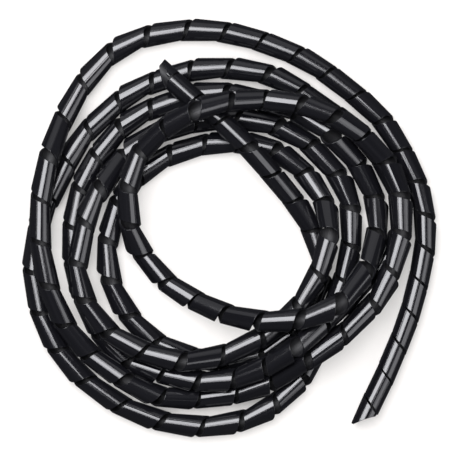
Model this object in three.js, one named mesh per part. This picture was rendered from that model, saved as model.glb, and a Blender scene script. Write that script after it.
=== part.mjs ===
// A spiral cable wrap: a plastic tube slit into one left-hand helical strip, lying in a loose coil.
// Millimetres, +Z up. The origin is on the floor under the middle of the coil.

import * as THREE from 'three'

// The tube
const TUBE_RADIUS = 5
const WALL = 1
const SIDES = 8

// The strip: its width along the tube, the tube length that one turn takes where it lies straight,
// the share of that length that the strip may fill where its turns crowd, and its width at a tip
const STRIP_WIDTH = 17.8
const STRAIGHT_PITCH = 16.14
const WIDEST_SHARE = 0.955
const THINNEST_TIP = 1

// The turns lean: the side that faces away from the coil's middle lies this far ahead. The first
// turns at the free end don't, and the lean grows between the two turns named here
const TURN_LEAN = 1.5
const UPRIGHT_UP_TO = 6
const LEANING_FROM = 9

// The route's grid: the length of one step, the middle of the coil in steps, and the rise of one layer
const STEP = 1 / 2.15
const MIDDLE_ACROSS = 229.3
const MIDDLE_DOWN = 228.2
const LAYER = 10.3
const AXIS_HEIGHT = TUBE_RADIUS * Math.cos(Math.PI / SIDES)

// How finely the route is followed between two of its points, and how far to each side of a place
// the tube's direction there is read
const SAMPLES = 16
const DIRECTION_REACH = 1

// Both ends are cut aslant: the route's point under the middle of each cut, and how far the cut runs
// ahead on the side of the tube that faces away from the coil's middle. The upper end's cut leans
// too, and its point is blunt
const FREE_CUT_AT = 1
const FREE_CUT_AHEAD = 4.5
const UPPER_CUT_AT = 298.6
const UPPER_CUT_AHEAD = 5.5
const UPPER_CUT_LEAN = 2.3
const UPPER_POINT_AT = 299.1

// Where the slit's turns fall along the route: [point of the route, turns of the slit so far]
const SLIT_TURNS = [
  [0.2, 0.5], [1.4, 1], [6, 4], [9.2, 6], [12.5, 8], [15.5, 10], [20.3, 13], [24.8, 16],
  [29.5, 19], [34.1, 22], [39, 25], [43.7, 28], [48.6, 31], [54.9, 34], [60, 37], [65.1, 40],
  [70.5, 43], [76.1, 46], [81.9, 49], [87.8, 52], [94.6, 55], [98.8, 57], [104.5, 60], [114.4, 65],
  [120.4, 68], [126.4, 71], [134.1, 75], [138.9, 78], [156.9, 88], [163.1, 91], [167.1, 93],
  [175.3, 97], [181.9, 100], [188, 103], [194.1, 106], [199.9, 109], [205.6, 112], [209.6, 114],
  [222.9, 120], [229.5, 123], [236.4, 126], [243.6, 129], [247.8, 131], [249.6, 132], [255.7, 135],
  [264.5, 139], [269.4, 141], [271.5, 142], [288.4, 150], [290.2, 151], [295.5, 154], [297.5, 155],
]

// The route of the tube's axis from the free end to the other one: [steps across, steps down, layer]
const ROUTE = [
  // The free end, then up the right side as the outermost strand
  [358, 432, 0], [364.5, 419.5, 0], [373, 400, 0], [383, 380, 0], [391.5, 360, 0], [400, 340, 0],
  [407.5, 320, 0], [413.5, 300, 0], [418.5, 280, 0], [422.5, 260, 0], [425, 240, 0], [424.5, 220, 0],
  [421.5, 200, 0], [415, 179, 0],
  // Across the top, outermost
  [405, 158, 0], [394, 138, 0], [381, 119.5, 0], [365, 104, 0], [348, 89.5, 0], [330, 76, 0],
  [310, 62.5, 0], [288, 52, 0], [265, 43, 0], [241, 36, 0], [216, 31.5, 0], [191, 30.5, 0],
  [166, 33, 0], [142, 38.5, 0], [119, 49, 0], [99, 66, 0], [82, 87, 0],
  // Down the left side, lying over an earlier strand
  [68, 111, 0.2], [57, 136, 0.7], [49, 161, 1], [43.5, 187, 1], [41, 213, 1], [41.2, 239, 1],
  [44.5, 264, 1], [51, 290, 0.9], [61, 314.5, 0.7], [75, 337, 0.5], [93.5, 356.5, 0.5],
  // Along the bottom
  [113, 371, 0.58], [135, 385.2, 0.6], [158, 395.2, 0.3], [183, 397.5, 0.05], [208, 397, 0],
  [232, 393.5, 0.1], [254, 388.5, 0.25], [272, 380.5, 0.5], [287, 371, 0.7],
  // Up the right side again, over two strands
  [304, 361, 1], [321, 350.5, 1.08], [337, 338.5, 1.08], [352, 325, 1], [367, 309.5, 1],
  [381, 292.5, 1], [391, 268, 1], [398, 248, 1], [401, 226, 1], [400.5, 204, 1], [396, 183, 1],
  [386, 163, 1],
  // Across the top, above all the other strands there
  [374, 149.5, 1], [360, 135, 1.2], [343, 123, 1.5], [323, 112.5, 1.72], [305, 106.5, 1.72],
  [288, 103.2, 1.6], [268, 101, 1.45], [248, 100.5, 1.5], [228, 102.5, 1.8], [210, 106.5, 2],
  [193, 113, 2], [176, 121.5, 1.8],
  // Down the left side, the innermost strand
  [161, 132.5, 1.4], [148.5, 144.5, 1.2], [138.5, 158.5, 1.1], [131.5, 176, 1.1], [128.3, 195, 1],
  [129.5, 214, 0.8], [132.5, 233, 0.5], [139.5, 247.5, 0.2], [148.5, 260.5, 0],
  // Along the bottom, climbing over everything there
  [160, 275, 0.05], [173, 286.5, 0.15], [188, 296, 0.35], [204, 304.5, 0.65], [221, 311.5, 1],
  [239, 316.8, 1.35], [256, 319.5, 1.7], [273, 320.5, 2], [289, 319.5, 2.15], [305, 317, 2.25],
  [320, 312.5, 2.3], [335, 304.5, 2.15],
  // Up the right side
  [349, 292.5, 1.92], [361, 276, 1.52], [370, 258, 1], [375, 238, 0.62], [377, 218, 0.22],
  [374, 199.5, 0], [367.5, 183, 0], [358, 165, 0.05],
  // Across the top, under the strand laid before it
  [346, 150.5, 0.3], [332.5, 137.5, 0.65], [318.7, 125, 0.75], [303, 116.2, 0.58], [286, 107.8, 0.3],
  [268, 102.5, 0.05], [248, 97.5, 0], [226, 93.5, 0], [205, 93.5, 0], [185, 97.5, 0],
  // Down the left side on the floor
  [167, 104, 0], [150, 110, 0], [134, 118.7, 0], [119.6, 130, 0], [107, 144.5, 0], [96, 159, 0],
  [87, 175, 0], [80.5, 192, 0], [76, 211, 0], [73.2, 230, 0], [73.3, 250, 0], [75.5, 268, 0],
  [80, 286, 0], [86.5, 304, 0], [95, 322, 0],
  // Along the bottom, then climbing
  [105, 338, 0], [117, 352, 0], [132, 362.4, 0], [149, 369.5, 0.12], [167, 374.2, 0.4],
  [188, 379.2, 0.6], [210, 380.7, 0.75], [231, 378.5, 0.8], [252, 372, 0.95], [272, 362.5, 1.35],
  [290, 350.5, 1.6], [306, 338, 1.6],
  // Up the right side, hidden under two strands
  [321, 324, 1.4], [336, 310.5, 1.1], [350.5, 296, 0.82], [364, 281, 0.42], [380, 265.5, 0.05],
  [392, 248, 0], [398.5, 229, 0], [400, 209, 0], [395.6, 189.5, 0], [387.5, 170.5, 0], [376, 153.5, 0],
  // Across the top
  [364, 137.5, 0], [349, 125, 0], [332, 113.5, 0], [314, 101, 0], [292.5, 86, 0], [274, 77.5, 0],
  [255, 72, 0], [236, 69.5, 0], [217, 68.7, 0], [200, 69.8, 0], [184, 73, 0], [164, 79.3, 0],
  [143.7, 87, 0], [126.5, 96.3, 0],
  // Down the left side, the outermost strand, on the floor
  [112, 108.5, 0], [98, 121, 0], [85, 135, 0], [74, 150.5, 0], [65.5, 167, 0], [56.5, 186, 0],
  [47.5, 204, 0], [40.5, 222, 0], [36.5, 241, 0], [34.2, 258, 0], [34.2, 275, 0], [37, 293, 0],
  [41, 311, 0], [47.5, 328, 0],
  // Along the bottom, outermost
  [56, 344, 0], [66.5, 359.5, 0], [80, 374.5, 0], [96.5, 388, 0], [114, 400.5, 0], [133, 410.3, 0],
  [153, 418, 0], [173, 422.8, 0], [193, 425.5, 0], [213, 425.3, 0], [233, 422.3, 0], [252, 416.5, 0],
  [269, 407.5, 0], [284.5, 395, 0],
  // Up the right side, from under the others
  [296, 384, 0], [305.5, 371, 0], [313.5, 355, 0], [320.5, 338, 0], [327, 321, 0], [334, 304, 0],
  [340.5, 287, 0], [346, 268, 0], [350, 249, 0], [351, 230, 0], [350, 211, 0], [346, 193, 0],
  // Across the top, mostly hidden
  [336, 174, 0], [323.5, 159.5, 0], [310.5, 146, 0], [296.5, 136.3, 0], [279, 128, 0], [260, 122.5, 0],
  [240, 120, 0], [220, 119.8, 0], [202, 121.5, 0], [185, 125.5, 0], [167, 130, 0],
  // Down the left side, on top of its neighbour
  [150.3, 137, 0], [136.6, 145.8, 0], [124.5, 157, 0], [113.5, 170.5, 0.25], [103, 186.5, 0.6],
  [93.5, 202, 0.8], [87.3, 219, 0.95], [83.7, 236, 1], [80, 253, 1], [78.5, 270, 1], [81.5, 287, 1],
  [88, 303, 1], [97, 317, 1], [109, 330.5, 1],
  // Along the bottom, raised on the last strand
  [123, 340.5, 1], [138, 348, 1.05], [153, 354, 1.1], [170, 358.3, 1.2], [187, 360, 1.25],
  [205, 358.3, 1.1], [222, 354.3, 1], [240, 347.5, 1],
  // Up the right side, the innermost strand
  [257, 339, 1], [273, 329, 1], [287, 317.5, 1], [299, 304, 1], [309, 290, 1], [317, 274.5, 1],
  [323, 258, 1], [327.3, 241, 1], [328, 224, 0.78], [324.5, 206, 0.4],
  // Across the top, the innermost strand
  [316, 189, 0.12], [305, 174.5, 0], [291.5, 162, 0], [277, 152.5, 0], [261, 146.7, 0],
  [244, 143.7, 0], [226, 143, 0], [208, 144.3, 0], [190, 148.8, 0], [173, 154.5, 0], [158, 162, 0],
  [145, 171, 0],
  // Down the left side on the floor
  [134, 182, 0], [124.5, 194.5, 0], [117.5, 208, 0], [112.5, 223, 0], [109, 239, 0], [107.8, 255, 0],
  [109.5, 271, 0], [114, 287, 0], [121, 302, 0], [130.5, 316, 0], [143, 330.5, 0], [156, 341, 0],
  // Along the bottom, hidden under two strands
  [170, 348.5, 0], [185, 354.5, 0], [202, 358.5, 0], [220, 360.5, 0], [239, 359.5, 0], [257, 354, 0],
  [273, 346.5, 0], [287, 335.5, 0], [299, 323, 0],
  // Up the right side, under the strand beside it
  [308, 308, 0], [315.5, 292, 0], [320.5, 276, 0], [320.5, 260, 0], [317.5, 245.5, 0],
  [311.5, 230.5, 0],
  // Aslant over the top strands to the other end
  [303, 214, 0.05], [291, 197.5, 0.15], [279, 182.5, 0.35], [266, 167.5, 0.7], [252, 151.5, 1],
  [238, 137, 1], [223, 123, 1], [208, 110.5, 1], [194, 99.5, 1], [182, 89, 1], [170, 78.5, 1],
  [159, 68.5, 1],
]

const black = new THREE.MeshStandardMaterial({ color: 0x17171a, roughness: 0.25, metalness: 0 })

function routePoint([across, down, layer]) {
  return new THREE.Vector3(
    (across - MIDDLE_ACROSS) * STEP,
    (MIDDLE_DOWN - down) * STEP,
    AXIS_HEIGHT + layer * LAYER,
  )
}

// Control points of a smooth cubic curve that runs through the route's points
function controlPoints(points) {
  const last = points.length - 1
  const before = points[0].clone().multiplyScalar(2).sub(points[1])
  const after = points[last].clone().multiplyScalar(2).sub(points[last - 1])
  const line = [before, ...points, after]
  const inner = points.map((point, i) => {
    const turn = line[i].clone().addScaledVector(point, -2).add(line[i + 2])
    return point.clone().addScaledVector(turn, -1 / 6)
  })
  return [before, ...inner, after]
}

function curvePoint(controls, span, t) {
  const weights = [
    (1 - t) ** 3,
    3 * t ** 3 - 6 * t ** 2 + 4,
    -3 * t ** 3 + 3 * t ** 2 + 3 * t + 1,
    t ** 3,
  ]
  const point = new THREE.Vector3()
  weights.forEach((weight, i) => point.addScaledVector(controls[span + i], weight / 6))
  return point
}

// The value of a rising or falling list at a place on another, rising list
function lookUp(places, values, place) {
  let low = 0
  let high = places.length - 2
  while (low < high) {
    const middle = Math.ceil((low + high) / 2)
    if (places[middle] <= place) low = middle
    else high = middle - 1
  }
  const share = (place - places[low]) / (places[low + 1] - places[low])
  return values[low] + share * (values[low + 1] - values[low])
}

// The route as fine samples: points, and the distance along the tube at each
function sampleRoute() {
  const controls = controlPoints(ROUTE.map(routePoint))
  const points = []
  for (let span = 0; span < ROUTE.length - 1; span++) {
    for (let i = 0; i < SAMPLES; i++) points.push(curvePoint(controls, span, i / SAMPLES))
  }
  points.push(curvePoint(controls, ROUTE.length - 2, 1))
  const distances = [0]
  for (let i = 1; i < points.length; i++) {
    distances.push(distances[i - 1] + points[i].distanceTo(points[i - 1]))
  }
  return { points, distances }
}

const route = sampleRoute()
const order = route.points.map((point, i) => i)
const freeCutMiddle = lookUp(order, route.distances, FREE_CUT_AT * SAMPLES)
const upperCutMiddle = lookUp(order, route.distances, UPPER_CUT_AT * SAMPLES)
const upperPoint = lookUp(order, route.distances, UPPER_POINT_AT * SAMPLES)

// A point of the axis, which runs straight on past both ends of the route
function placeAt(distance) {
  const sample = lookUp(route.distances, order, distance)
  const first = THREE.MathUtils.clamp(Math.floor(sample), 0, order.length - 2)
  return route.points[first].clone().lerp(route.points[first + 1], sample - first)
}

function directionAt(distance) {
  const behind = placeAt(distance - DIRECTION_REACH)
  return placeAt(distance + DIRECTION_REACH).sub(behind).normalize()
}

// How sharply the tube bends, averaged over about one turn of the strip
function bendAt(distance) {
  const reach = STRAIGHT_PITCH / 2
  return directionAt(distance - reach).angleTo(directionAt(distance + reach)) / (2 * reach)
}

// Turns of the strip at each sample. In a bend the turns close up inside and fan out outside, so
// each takes more of the axis; between the listed places they are spread in that proportion
function slitTurns() {
  const plain = [0]
  for (let i = 1; i < order.length; i++) {
    const length = route.distances[i] - route.distances[i - 1]
    const closing = 1 - TUBE_RADIUS * bendAt(route.distances[i])
    plain.push(plain[i - 1] + (length * closing) / STRAIGHT_PITCH)
  }
  const marks = SLIT_TURNS.map(([point, turns]) => [lookUp(order, plain, point * SAMPLES), turns])
  const places = marks.map((mark) => mark[0])
  const turns = marks.map((mark) => mark[1])
  return plain.map((value) => lookUp(places, turns, value))
}

const turnsAlong = slitTurns()

function distanceOfTurn(turn) {
  return lookUp(turnsAlong, route.distances, turn)
}

// Straight width of the strip where it crosses one angle of the tube, narrower where turns crowd
function stripWidth(turn) {
  const here = distanceOfTurn(turn)
  const closing = 1 - TUBE_RADIUS * bendAt(here)
  const ahead = distanceOfTurn(turn + 1) - here
  const behind = here - distanceOfTurn(turn - 1)
  return Math.min(STRIP_WIDTH, WIDEST_SHARE * closing * Math.min(ahead, behind))
}

// How far ahead of its axis point the strip lies at one angle of the tube
function leanAhead(turn, angle) {
  const share = THREE.MathUtils.smoothstep(turn, UPRIGHT_UP_TO, LEANING_FROM)
  return -TURN_LEAN * share * Math.cos(angle)
}

// One straight line across the strip: where it lies, its direction, and the cut strip's two edges
function crossing(turn) {
  const distance = distanceOfTurn(turn)
  const angle = -2 * Math.PI * turn
  const along = directionAt(distance)
  const side = new THREE.Vector3(0, 0, 1).cross(along).normalize()
  const up = along.clone().cross(side)
  const outward = side.clone().multiplyScalar(Math.cos(angle)).addScaledVector(up, Math.sin(angle))
  const half = stripWidth(turn) / 2
  const freeCut = freeCutMiddle - FREE_CUT_AHEAD * Math.cos(angle)
  const upperAhead = UPPER_CUT_AHEAD * Math.cos(angle) + UPPER_CUT_LEAN * Math.sin(angle)
  const upperCut = Math.min(upperCutMiddle - upperAhead, upperPoint)
  const centre = placeAt(distance)
  const lean = leanAhead(turn, angle)
  const start = Math.max(lean - half, freeCut - distance)
  const end = Math.min(lean + half, upperCut - distance)
  // The straight line is stiff: where the tube starts to climb it is lifted clear of the floor
  const lowest = centre.z + Math.min(start * along.z, end * along.z)
  centre.z += Math.max(0, AXIS_HEIGHT - lowest)
  return { centre, along, outward, start, end }
}

// The whole strip: corners outer start, outer end, inner end, inner start at each crossing
function stripGeometry() {
  const firstStep = Math.floor((turnsAlong[0] - 1) * SIDES)
  const lastStep = Math.ceil((turnsAlong[turnsAlong.length - 1] + 1) * SIDES)
  const crossings = []
  for (let step = firstStep; step <= lastStep; step++) {
    const found = crossing((step + 0.5) / SIDES)
    if (found.end - found.start >= THINNEST_TIP) crossings.push(found)
  }
  const corners = []
  for (const { centre, along, outward, start, end } of crossings) {
    const inner = TUBE_RADIUS - WALL
    const section = [[TUBE_RADIUS, start], [TUBE_RADIUS, end], [inner, end], [inner, start]]
    for (const [radius, offset] of section) {
      corners.push(centre.clone().addScaledVector(along, offset).addScaledVector(outward, radius))
    }
  }
  const faces = [0, 2, 1, 0, 3, 2]
  for (let i = 0; i < crossings.length - 1; i++) {
    for (let corner = 0; corner < 4; corner++) {
      const a = i * 4 + corner
      const b = i * 4 + ((corner + 1) % 4)
      faces.push(a, b, a + 4, b, b + 4, a + 4)
    }
  }
  const last = (crossings.length - 1) * 4
  faces.push(last, last + 1, last + 2, last, last + 2, last + 3)
  const geometry = new THREE.BufferGeometry()
  const numbers = corners.flatMap((corner) => corner.toArray())
  geometry.setAttribute('position', new THREE.Float32BufferAttribute(numbers, 3))
  geometry.setIndex(faces)
  geometry.computeVertexNormals()
  return geometry
}

const strip = new THREE.Mesh(stripGeometry(), black)
strip.name = 'spiral_wrap'

const wrap = new THREE.Group()
wrap.add(strip)

export default wrap
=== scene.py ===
"""A spiral cable wrap, a plastic tube slit into one helical strip, lying in a loose coil."""

import math

import bpy
import numpy as np
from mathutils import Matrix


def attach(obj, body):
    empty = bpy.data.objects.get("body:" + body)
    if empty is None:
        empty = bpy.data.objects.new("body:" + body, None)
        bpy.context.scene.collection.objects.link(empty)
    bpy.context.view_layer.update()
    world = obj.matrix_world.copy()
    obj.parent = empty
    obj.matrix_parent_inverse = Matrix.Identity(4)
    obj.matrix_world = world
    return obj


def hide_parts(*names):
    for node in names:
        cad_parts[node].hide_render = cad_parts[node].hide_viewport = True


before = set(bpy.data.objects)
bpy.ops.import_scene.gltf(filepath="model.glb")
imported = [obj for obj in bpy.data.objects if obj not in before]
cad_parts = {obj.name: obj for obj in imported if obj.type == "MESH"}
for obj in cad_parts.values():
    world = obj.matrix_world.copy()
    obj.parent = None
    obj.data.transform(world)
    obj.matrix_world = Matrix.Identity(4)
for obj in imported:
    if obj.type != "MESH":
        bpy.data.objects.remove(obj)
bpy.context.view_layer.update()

MM = 0.001

# The tube and its strip, in metres
TUBE_RADIUS = 5 * MM
WALL = 1 * MM
STRIP_WIDTH = 17.8 * MM
STRAIGHT_PITCH = 16.14 * MM
WIDEST_SHARE = 0.955
THINNEST_TIP = 0.4 * MM
EDGE_ROUND = 0.16 * MM
STEPS_A_TURN = 36

# The lines that the die leaves run along the tube; this is how slowly they change on the way
LINE_LENGTH = 40 * MM

# The turns lean: the side that faces away from the coil's middle lies this far ahead. The first
# turns at the free end don't, and the lean grows between the two turns named here
TURN_LEAN = 1.5 * MM
UPRIGHT_UP_TO = 6
LEANING_FROM = 9

# The route's grid: the length of one step, the middle of the coil in steps, and the rise of a layer
STEP = 1 / 2.15 * MM
MIDDLE_ACROSS = 229.3
MIDDLE_DOWN = 228.2
LAYER = 10.3 * MM
AXIS_HEIGHT = TUBE_RADIUS
SAMPLES = 16
DIRECTION_REACH = 1 * MM

# Both ends are cut aslant: the route's point under the middle of each cut, and how far the cut runs
# ahead on the side of the tube that faces away from the coil's middle. The upper end's cut leans
# too, and its point is blunt
FREE_CUT_AT = 1
FREE_CUT_AHEAD = 4.5 * MM
UPPER_CUT_AT = 298.6
UPPER_CUT_AHEAD = 5.5 * MM
UPPER_CUT_LEAN = 2.3 * MM
UPPER_POINT_AT = 299.1

# Where the slit's turns fall along the route: (point of the route, turns of the slit so far)
SLIT_TURNS = [
    (0.2, 0.5), (1.4, 1), (6, 4), (9.2, 6), (12.5, 8), (15.5, 10), (20.3, 13), (24.8, 16),
    (29.5, 19), (34.1, 22), (39, 25), (43.7, 28), (48.6, 31), (54.9, 34), (60, 37), (65.1, 40),
    (70.5, 43), (76.1, 46), (81.9, 49), (87.8, 52), (94.6, 55), (98.8, 57), (104.5, 60),
    (114.4, 65), (120.4, 68), (126.4, 71), (134.1, 75), (138.9, 78), (156.9, 88), (163.1, 91),
    (167.1, 93), (175.3, 97), (181.9, 100), (188, 103), (194.1, 106), (199.9, 109), (205.6, 112),
    (209.6, 114), (222.9, 120), (229.5, 123), (236.4, 126), (243.6, 129), (247.8, 131),
    (249.6, 132), (255.7, 135), (264.5, 139), (269.4, 141), (271.5, 142), (288.4, 150),
    (290.2, 151), (295.5, 154), (297.5, 155),
]

# The route of the tube's axis from the free end to the other one: (steps across, steps down, layer)
ROUTE = [
    # The free end, then up the right side as the outermost strand
    (358, 432, 0), (364.5, 419.5, 0), (373, 400, 0), (383, 380, 0), (391.5, 360, 0), (400, 340, 0),
    (407.5, 320, 0), (413.5, 300, 0), (418.5, 280, 0), (422.5, 260, 0), (425, 240, 0), (424.5, 220, 0),
    (421.5, 200, 0), (415, 179, 0),
    # Across the top, outermost
    (405, 158, 0), (394, 138, 0), (381, 119.5, 0), (365, 104, 0), (348, 89.5, 0), (330, 76, 0),
    (310, 62.5, 0), (288, 52, 0), (265, 43, 0), (241, 36, 0), (216, 31.5, 0), (191, 30.5, 0),
    (166, 33, 0), (142, 38.5, 0), (119, 49, 0), (99, 66, 0), (82, 87, 0),
    # Down the left side, lying over an earlier strand
    (68, 111, 0.2), (57, 136, 0.7), (49, 161, 1), (43.5, 187, 1), (41, 213, 1), (41.2, 239, 1),
    (44.5, 264, 1), (51, 290, 0.9), (61, 314.5, 0.7), (75, 337, 0.5), (93.5, 356.5, 0.5),
    # Along the bottom
    (113, 371, 0.58), (135, 385.2, 0.6), (158, 395.2, 0.3), (183, 397.5, 0.05), (208, 397, 0),
    (232, 393.5, 0.1), (254, 388.5, 0.25), (272, 380.5, 0.5), (287, 371, 0.7),
    # Up the right side again, over two strands
    (304, 361, 1), (321, 350.5, 1.08), (337, 338.5, 1.08), (352, 325, 1), (367, 309.5, 1),
    (381, 292.5, 1), (391, 268, 1), (398, 248, 1), (401, 226, 1), (400.5, 204, 1), (396, 183, 1),
    (386, 163, 1),
    # Across the top, above all the other strands there
    (374, 149.5, 1), (360, 135, 1.2), (343, 123, 1.5), (323, 112.5, 1.72), (305, 106.5, 1.72),
    (288, 103.2, 1.6), (268, 101, 1.45), (248, 100.5, 1.5), (228, 102.5, 1.8), (210, 106.5, 2),
    (193, 113, 2), (176, 121.5, 1.8),
    # Down the left side, the innermost strand
    (161, 132.5, 1.4), (148.5, 144.5, 1.2), (138.5, 158.5, 1.1), (131.5, 176, 1.1), (128.3, 195, 1),
    (129.5, 214, 0.8), (132.5, 233, 0.5), (139.5, 247.5, 0.2), (148.5, 260.5, 0),
    # Along the bottom, climbing over everything there
    (160, 275, 0.05), (173, 286.5, 0.15), (188, 296, 0.35), (204, 304.5, 0.65), (221, 311.5, 1),
    (239, 316.8, 1.35), (256, 319.5, 1.7), (273, 320.5, 2), (289, 319.5, 2.15), (305, 317, 2.25),
    (320, 312.5, 2.3), (335, 304.5, 2.15),
    # Up the right side
    (349, 292.5, 1.92), (361, 276, 1.52), (370, 258, 1), (375, 238, 0.62), (377, 218, 0.22),
    (374, 199.5, 0), (367.5, 183, 0), (358, 165, 0.05),
    # Across the top, under the strand laid before it
    (346, 150.5, 0.3), (332.5, 137.5, 0.65), (318.7, 125, 0.75), (303, 116.2, 0.58), (286, 107.8, 0.3),
    (268, 102.5, 0.05), (248, 97.5, 0), (226, 93.5, 0), (205, 93.5, 0), (185, 97.5, 0),
    # Down the left side on the floor
    (167, 104, 0), (150, 110, 0), (134, 118.7, 0), (119.6, 130, 0), (107, 144.5, 0), (96, 159, 0),
    (87, 175, 0), (80.5, 192, 0), (76, 211, 0), (73.2, 230, 0), (73.3, 250, 0), (75.5, 268, 0),
    (80, 286, 0), (86.5, 304, 0), (95, 322, 0),
    # Along the bottom, then climbing
    (105, 338, 0), (117, 352, 0), (132, 362.4, 0), (149, 369.5, 0.12), (167, 374.2, 0.4),
    (188, 379.2, 0.6), (210, 380.7, 0.75), (231, 378.5, 0.8), (252, 372, 0.95), (272, 362.5, 1.35),
    (290, 350.5, 1.6), (306, 338, 1.6),
    # Up the right side, hidden under two strands
    (321, 324, 1.4), (336, 310.5, 1.1), (350.5, 296, 0.82), (364, 281, 0.42), (380, 265.5, 0.05),
    (392, 248, 0), (398.5, 229, 0), (400, 209, 0), (395.6, 189.5, 0), (387.5, 170.5, 0), (376, 153.5, 0),
    # Across the top
    (364, 137.5, 0), (349, 125, 0), (332, 113.5, 0), (314, 101, 0), (292.5, 86, 0), (274, 77.5, 0),
    (255, 72, 0), (236, 69.5, 0), (217, 68.7, 0), (200, 69.8, 0), (184, 73, 0), (164, 79.3, 0),
    (143.7, 87, 0), (126.5, 96.3, 0),
    # Down the left side, the outermost strand, on the floor
    (112, 108.5, 0), (98, 121, 0), (85, 135, 0), (74, 150.5, 0), (65.5, 167, 0), (56.5, 186, 0),
    (47.5, 204, 0), (40.5, 222, 0), (36.5, 241, 0), (34.2, 258, 0), (34.2, 275, 0), (37, 293, 0),
    (41, 311, 0), (47.5, 328, 0),
    # Along the bottom, outermost
    (56, 344, 0), (66.5, 359.5, 0), (80, 374.5, 0), (96.5, 388, 0), (114, 400.5, 0), (133, 410.3, 0),
    (153, 418, 0), (173, 422.8, 0), (193, 425.5, 0), (213, 425.3, 0), (233, 422.3, 0), (252, 416.5, 0),
    (269, 407.5, 0), (284.5, 395, 0),
    # Up the right side, from under the others
    (296, 384, 0), (305.5, 371, 0), (313.5, 355, 0), (320.5, 338, 0), (327, 321, 0), (334, 304, 0),
    (340.5, 287, 0), (346, 268, 0), (350, 249, 0), (351, 230, 0), (350, 211, 0), (346, 193, 0),
    # Across the top, mostly hidden
    (336, 174, 0), (323.5, 159.5, 0), (310.5, 146, 0), (296.5, 136.3, 0), (279, 128, 0), (260, 122.5, 0),
    (240, 120, 0), (220, 119.8, 0), (202, 121.5, 0), (185, 125.5, 0), (167, 130, 0),
    # Down the left side, on top of its neighbour
    (150.3, 137, 0), (136.6, 145.8, 0), (124.5, 157, 0), (113.5, 170.5, 0.25), (103, 186.5, 0.6),
    (93.5, 202, 0.8), (87.3, 219, 0.95), (83.7, 236, 1), (80, 253, 1), (78.5, 270, 1), (81.5, 287, 1),
    (88, 303, 1), (97, 317, 1), (109, 330.5, 1),
    # Along the bottom, raised on the last strand
    (123, 340.5, 1), (138, 348, 1.05), (153, 354, 1.1), (170, 358.3, 1.2), (187, 360, 1.25),
    (205, 358.3, 1.1), (222, 354.3, 1), (240, 347.5, 1),
    # Up the right side, the innermost strand
    (257, 339, 1), (273, 329, 1), (287, 317.5, 1), (299, 304, 1), (309, 290, 1), (317, 274.5, 1),
    (323, 258, 1), (327.3, 241, 1), (328, 224, 0.78), (324.5, 206, 0.4),
    # Across the top, the innermost strand
    (316, 189, 0.12), (305, 174.5, 0), (291.5, 162, 0), (277, 152.5, 0), (261, 146.7, 0),
    (244, 143.7, 0), (226, 143, 0), (208, 144.3, 0), (190, 148.8, 0), (173, 154.5, 0), (158, 162, 0),
    (145, 171, 0),
    # Down the left side on the floor
    (134, 182, 0), (124.5, 194.5, 0), (117.5, 208, 0), (112.5, 223, 0), (109, 239, 0), (107.8, 255, 0),
    (109.5, 271, 0), (114, 287, 0), (121, 302, 0), (130.5, 316, 0), (143, 330.5, 0), (156, 341, 0),
    # Along the bottom, hidden under two strands
    (170, 348.5, 0), (185, 354.5, 0), (202, 358.5, 0), (220, 360.5, 0), (239, 359.5, 0), (257, 354, 0),
    (273, 346.5, 0), (287, 335.5, 0), (299, 323, 0),
    # Up the right side, under the strand beside it
    (308, 308, 0), (315.5, 292, 0), (320.5, 276, 0), (320.5, 260, 0), (317.5, 245.5, 0),
    (311.5, 230.5, 0),
    # Aslant over the top strands to the other end
    (303, 214, 0.05), (291, 197.5, 0.15), (279, 182.5, 0.35), (266, 167.5, 0.7), (252, 151.5, 1),
    (238, 137, 1), (223, 123, 1), (208, 110.5, 1), (194, 99.5, 1), (182, 89, 1), (170, 78.5, 1),
    (159, 68.5, 1),
]

# The camera looks straight down; its picture is this many of the route's steps wide
PICTURE_STEPS = 460
PICTURE_MIDDLE = (230, 230)
CAMERA_HEIGHT = 4.0
SENSOR = 36

# The floor's size, how far from the strands its glow is still darkened as painted shade, and the lamps,
# all in metres
FLOOR_SIZE = 40
FLOOR_PAINTED_SHADE_REACH = 0.012
LIGHT_DISTANCE = 1.5
LIGHT_COLOUR = (0.96, 0.96, 1)


def camera():
    """A camera far above the coil, so that it sees it almost without perspective."""
    data = bpy.data.cameras.new("camera")
    data.sensor_width = SENSOR
    data.lens = SENSOR * CAMERA_HEIGHT / (PICTURE_STEPS * STEP)
    data.clip_end = 100
    found = bpy.data.objects.new("camera", data)
    across, down = PICTURE_MIDDLE
    found.location = (
        (across - MIDDLE_ACROSS) * STEP,
        (MIDDLE_DOWN - down) * STEP,
        CAMERA_HEIGHT + AXIS_HEIGHT,
    )
    bpy.context.collection.objects.link(found)
    bpy.context.scene.camera = found


def unit(vectors):
    """The same directions, one long."""
    return vectors / np.linalg.norm(vectors, axis=-1, keepdims=True)


def look_up(place, places, values):
    """The value at a place on a rising list, which runs straight on past both ends."""
    first = np.clip(np.searchsorted(places, place, side="right") - 1, 0, len(places) - 2)
    share = (place - places[first]) / (places[first + 1] - places[first])
    return values[first] + share * (values[first + 1] - values[first])


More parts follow.
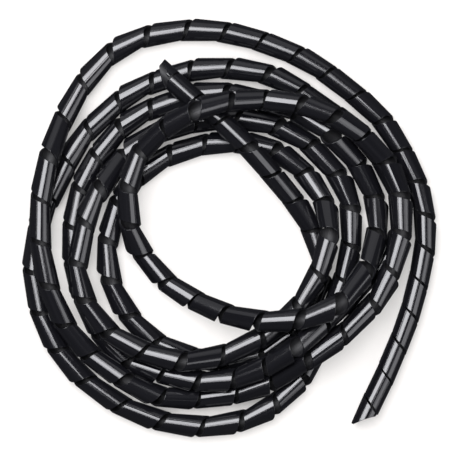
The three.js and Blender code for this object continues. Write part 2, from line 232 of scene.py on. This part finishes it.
class Route:
    """The tube's axis: a smooth cubic curve through the route's points, as fine samples."""

    def __init__(self):
        across, down, layer = np.array(ROUTE, float).T
        points = np.stack(
            [(across - MIDDLE_ACROSS) * STEP, (MIDDLE_DOWN - down) * STEP, AXIS_HEIGHT + layer * LAYER],
            axis=1,
        )
        before = 2 * points[0] - points[1]
        after = 2 * points[-1] - points[-2]
        line = np.vstack([before, points, after])
        controls = line.copy()
        controls[1:-1] -= (line[:-2] - 2 * line[1:-1] + line[2:]) / 6
        t = np.arange(0, len(points) - 1 + 0.5 / SAMPLES, 1 / SAMPLES)
        span = np.minimum(t.astype(int), len(points) - 2)
        t = (t - span)[:, None]
        weights = [(1 - t) ** 3, 3 * t**3 - 6 * t**2 + 4, -3 * t**3 + 3 * t**2 + 3 * t + 1, t**3]
        self.points = sum(w * controls[span + i] for i, w in enumerate(weights)) / 6
        steps = np.linalg.norm(np.diff(self.points, axis=0), axis=1)
        self.distances = np.concatenate([[0], np.cumsum(steps)])
        self.order = np.arange(len(self.points)) / SAMPLES
        self.turns = self.slit_turns()

    def distance_of(self, point):
        return look_up(point, self.order, self.distances)

    def place(self, distance):
        return np.stack([look_up(distance, self.distances, axis) for axis in self.points.T], axis=-1)

    def direction(self, distance):
        return unit(self.place(distance + DIRECTION_REACH) - self.place(distance - DIRECTION_REACH))

    def bend(self, distance):
        """How sharply the tube bends, averaged over about one turn of the strip."""
        reach = STRAIGHT_PITCH / 2
        before = self.direction(distance - reach)
        after = self.direction(distance + reach)
        return np.arccos(np.clip((before * after).sum(-1), -1, 1)) / (2 * reach)

    def closing(self, distance):
        """The share of its straight pitch that a turn keeps on the inside of the bend."""
        return 1 - TUBE_RADIUS * self.bend(distance)

    def slit_turns(self):
        """Turns of the strip at each sample, spread between the listed places as the bends ask."""
        lengths = np.diff(self.distances) * self.closing(self.distances[1:]) / STRAIGHT_PITCH
        plain = np.concatenate([[0], np.cumsum(lengths)])
        at, turns = np.array(SLIT_TURNS, float).T
        return look_up(plain, look_up(at, self.order, plain), turns)

    def distance_of_turn(self, turn):
        return look_up(turn, self.turns, self.distances)


def lean_ahead(turn, angle):
    """How far ahead of its axis point the strip lies at one angle of the tube."""
    share = np.clip((turn - UPRIGHT_UP_TO) / (LEANING_FROM - UPRIGHT_UP_TO), 0, 1)
    share = share * share * (3 - 2 * share)
    return -TURN_LEAN * share * np.cos(angle)


def strip_section(start, end):
    """Corners of the strip's section, each an offset along the tube and a radius."""
    outer, inner, small = TUBE_RADIUS, TUBE_RADIUS - WALL, EDGE_ROUND
    diagonal = small * (1 - math.sqrt(0.5))
    side = np.minimum(small, (end - start) / 4)
    near = diagonal * side / small
    return [
        (start, outer - small), (start + near, outer - diagonal), (start + side, outer),
        (end - side, outer), (end - near, outer - diagonal), (end, outer - small),
        (end, inner + small), (end - near, inner + diagonal), (end - side, inner),
        (start + side, inner), (start + near, inner + diagonal), (start, inner + small),
    ]


def strip_mesh(route):
    """The whole helical strip, built round the points that its tube follows."""
    turn = np.arange(math.floor(route.turns[0]) - 1, route.turns[-1] + 1, 1 / STEPS_A_TURN)
    distance = route.distance_of_turn(turn)
    angle = -2 * math.pi * turn
    along = route.direction(distance)
    side = unit(np.cross((0, 0, 1), along))
    up = np.cross(along, side)
    outward = np.cos(angle)[:, None] * side + np.sin(angle)[:, None] * up
    ahead = route.distance_of_turn(turn + 1) - distance
    behind = distance - route.distance_of_turn(turn - 1)
    crowded = WIDEST_SHARE * route.closing(distance) * np.minimum(ahead, behind)
    half = np.minimum(STRIP_WIDTH, crowded) / 2
    free_cut = route.distance_of(FREE_CUT_AT) - FREE_CUT_AHEAD * np.cos(angle)
    upper_ahead = UPPER_CUT_AHEAD * np.cos(angle) + UPPER_CUT_LEAN * np.sin(angle)
    upper_cut = np.minimum(
        route.distance_of(UPPER_CUT_AT) - upper_ahead, route.distance_of(UPPER_POINT_AT)
    )
    lean = lean_ahead(turn, angle)
    start = np.maximum(lean - half, free_cut - distance)
    end = np.minimum(lean + half, upper_cut - distance)
    centre = route.place(distance)
    lowest = centre[:, 2] + np.minimum(start * along[:, 2], end * along[:, 2])
    centre[:, 2] += np.maximum(0, AXIS_HEIGHT - lowest)
    kept = end - start >= THINNEST_TIP
    centre, along, outward = centre[kept], along[kept], outward[kept]
    start, end, turn = start[kept], end[kept], turn[kept]
    section = strip_section(start, end)
    corners = np.stack([
        centre + np.reshape(offset, (-1, 1)) * along + radius * outward for offset, radius in section
    ], axis=1)
    rings, sides = corners.shape[:2]
    ring = np.arange(rings - 1)[:, None] * sides
    corner = np.arange(sides)[None, :]
    following = (corner + 1) % sides
    faces = np.stack([
        ring + corner, ring + following, ring + sides + following, ring + sides + corner,
    ], axis=-1).reshape(-1, 4).tolist()
    faces.append(list(range(sides))[::-1])
    faces.append([(rings - 1) * sides + i for i in range(sides)])
    mesh = bpy.data.meshes.new("wrap")
    mesh.from_pydata(corners.reshape(-1, 3).tolist(), [], faces)
    mesh.polygons.foreach_set("use_smooth", [True] * len(mesh.polygons))
    radii = np.array([radius for _, radius in section])
    inside = np.tile(radii < TUBE_RADIUS - WALL / 2, rings)
    store(mesh, "inside", "FLOAT", inside)
    angle, distance = np.repeat(angle[kept], sides), np.repeat(distance[kept], sides)
    lines = np.stack([np.cos(angle), np.sin(angle), distance / LINE_LENGTH], axis=-1)
    store(mesh, "die_lines", "FLOAT_VECTOR", lines)
    mesh.update()
    return mesh


def store(mesh, name, kind, values):
    attribute = mesh.attributes.new(name, kind, "POINT")
    field = "vector" if kind == "FLOAT_VECTOR" else "value"
    attribute.data.foreach_set(field, np.ravel(values).astype(np.float32))


def add_node(tree, kind, **values):
    """A new shader node, with the named sockets set."""
    made = tree.nodes.new(kind)
    for socket, value in values.items():
        made.inputs[socket.replace("_", " ")].default_value = value
    return made


def black_plastic():
    """Glossy black polyethylene, with fine lines along the tube from its die and a duller bore."""
    material = bpy.data.materials.new("black_plastic")
    material.use_nodes = True
    tree = material.node_tree
    shader = tree.nodes["Principled BSDF"]
    shader.inputs["IOR"].default_value = 1.51

    lines = add_node(tree, "ShaderNodeAttribute")
    lines.attribute_name = "die_lines"
    inside = add_node(tree, "ShaderNodeAttribute")
    inside.attribute_name = "inside"
    fine = add_node(tree, "ShaderNodeTexNoise", Scale=5, Detail=3, Roughness=0.65)
    tree.links.new(lines.outputs["Vector"], fine.inputs["Vector"])
    broad = add_node(tree, "ShaderNodeTexNoise", Scale=2.2, Detail=2, Roughness=0.5)
    tree.links.new(lines.outputs["Vector"], broad.inputs["Vector"])

    relief = add_node(tree, "ShaderNodeBump", Strength=0.9, Distance=0.12 * MM)
    tree.links.new(fine.outputs["Fac"], relief.inputs["Height"])
    tree.links.new(relief.outputs["Normal"], shader.inputs["Normal"])

    gloss = add_node(tree, "ShaderNodeMapRange", From_Min=0.3, From_Max=0.7, To_Min=0.07, To_Max=0.17)
    tree.links.new(broad.outputs["Fac"], gloss.inputs["Value"])
    bore = add_node(tree, "ShaderNodeMapRange", To_Max=0.6)
    tree.links.new(inside.outputs["Fac"], bore.inputs["Value"])
    roughness = add_node(tree, "ShaderNodeMath")
    roughness.operation = "MAXIMUM"
    tree.links.new(gloss.outputs["Result"], roughness.inputs[0])
    tree.links.new(bore.outputs["Result"], roughness.inputs[1])
    tree.links.new(roughness.outputs["Value"], shader.inputs["Roughness"])

    tint = add_node(tree, "ShaderNodeValToRGB")
    darker, paler = tint.color_ramp.elements
    darker.position, darker.color = 0.3, (0.003, 0.003, 0.004, 1)
    paler.position, paler.color = 0.7, (0.0055, 0.0055, 0.0068, 1)
    tree.links.new(broad.outputs["Fac"], tint.inputs["Fac"])
    tree.links.new(tint.outputs["Color"], shader.inputs["Base Color"])
    return material


def wrap():
    route = Route()
    mesh = strip_mesh(route)
    mesh.materials.append(black_plastic())
    piece = bpy.data.objects.new("wrap", mesh)
    bpy.context.collection.objects.link(piece)
    normals = piece.modifiers.new("normals", "WEIGHTED_NORMAL")
    normals.keep_sharp = True
    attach(piece, "root")
    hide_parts("spiral_wrap")


def floor():
    """A white floor that is bright of itself, with painted shade in its glow near and between the
    strands, and that the glossy plastic doesn't mirror.
    """
    size = FLOOR_SIZE / 2
    mesh = bpy.data.meshes.new("floor")
    corners = [(-size, -size, 0), (size, -size, 0), (size, size, 0), (-size, size, 0)]
    mesh.from_pydata(corners, [], [(0, 1, 2, 3)])
    material = bpy.data.materials.new("floor")
    material.use_nodes = True
    tree = material.node_tree
    shader = tree.nodes["Principled BSDF"]
    shader.inputs["Base Color"].default_value = (0.29, 0.28, 0.265, 1)
    shader.inputs["Roughness"].default_value = 1
    shader.inputs["Specular IOR Level"].default_value = 0
    shader.inputs["Emission Color"].default_value = (1, 0.985, 0.97, 1)
    # Its own glow is darkened by ambient occlusion as painted shade near and between the strands, and
    # grows further out to make up for the lamps
    shade = add_node(tree, "ShaderNodeAmbientOcclusion", Distance=FLOOR_PAINTED_SHADE_REACH)
    # Painted shade: where the strands close the floor in, its glow drops as far as four tenths
    painted_gap_shade = add_node(tree, "ShaderNodeMapRange", From_Min=0.1, From_Max=0.6, To_Min=0.4)
    tree.links.new(shade.outputs["AO"], painted_gap_shade.inputs["Value"])
    place = add_node(tree, "ShaderNodeTexCoord")
    away = add_node(tree, "ShaderNodeVectorMath")
    away.operation = "LENGTH"
    tree.links.new(place.outputs["Object"], away.inputs[0])
    glow = add_node(tree, "ShaderNodeMapRange", From_Min=0.15, From_Max=0.8, To_Min=0.55)
    tree.links.new(away.outputs["Value"], glow.inputs["Value"])
    # The glow times its painted shade gives the floor's emission strength
    glow_with_painted_shade = add_node(tree, "ShaderNodeMath")
    glow_with_painted_shade.operation = "MULTIPLY"
    tree.links.new(glow.outputs["Result"], glow_with_painted_shade.inputs[0])
    tree.links.new(painted_gap_shade.outputs["Result"], glow_with_painted_shade.inputs[1])
    tree.links.new(glow_with_painted_shade.outputs["Value"], shader.inputs["Emission Strength"])
    mesh.materials.append(material)
    piece = bpy.data.objects.new("floor", mesh)
    piece.visible_glossy = False
    bpy.context.collection.objects.link(piece)


def softbox(name, tilt, heading, across, up, radiance, shape):
    """A panel that faces the coil: its direction and its size are angles as seen from there."""
    tilt, heading = math.radians(tilt), math.radians(heading)
    width = 2 * LIGHT_DISTANCE * math.tan(math.radians(across) / 2)
    height = 2 * LIGHT_DISTANCE * math.tan(math.radians(up) / 2)
    data = bpy.data.lights.new(name, "AREA")
    data.shape = shape
    data.size, data.size_y = width, height
    area = width * height * (math.pi / 4 if shape == "ELLIPSE" else 1)
    data.energy = radiance * math.pi * area
    data.color = LIGHT_COLOUR
    found = bpy.data.objects.new(name, data)
    found.location = (
        LIGHT_DISTANCE * math.sin(tilt) * math.cos(heading),
        LIGHT_DISTANCE * math.sin(tilt) * math.sin(heading),
        LIGHT_DISTANCE * math.cos(tilt),
    )
    found.rotation_euler = found.location.to_track_quat("Z", "Y").to_euler()
    found.visible_camera = False
    bpy.context.collection.objects.link(found)


def lights():
    """A round key light, a dimmer panel across from it, a faint one behind, and little else."""
    world = bpy.data.worlds.new("world")
    bpy.context.scene.world = world
    world.use_nodes = True
    world.node_tree.nodes["Background"].inputs["Color"].default_value = (0.9, 0.92, 1, 1)
    world.node_tree.nodes["Background"].inputs["Strength"].default_value = 0.08
    softbox("key", 21.5, 134, 44, 44, 14, "ELLIPSE")
    softbox("side", 48, -22, 44, 40, 3.4, "RECTANGLE")
    softbox("back", 62, 95, 70, 44, 0.65, "RECTANGLE")
    bpy.context.scene.view_settings.view_transform = "Standard"


camera()
wrap()
floor()
lights()
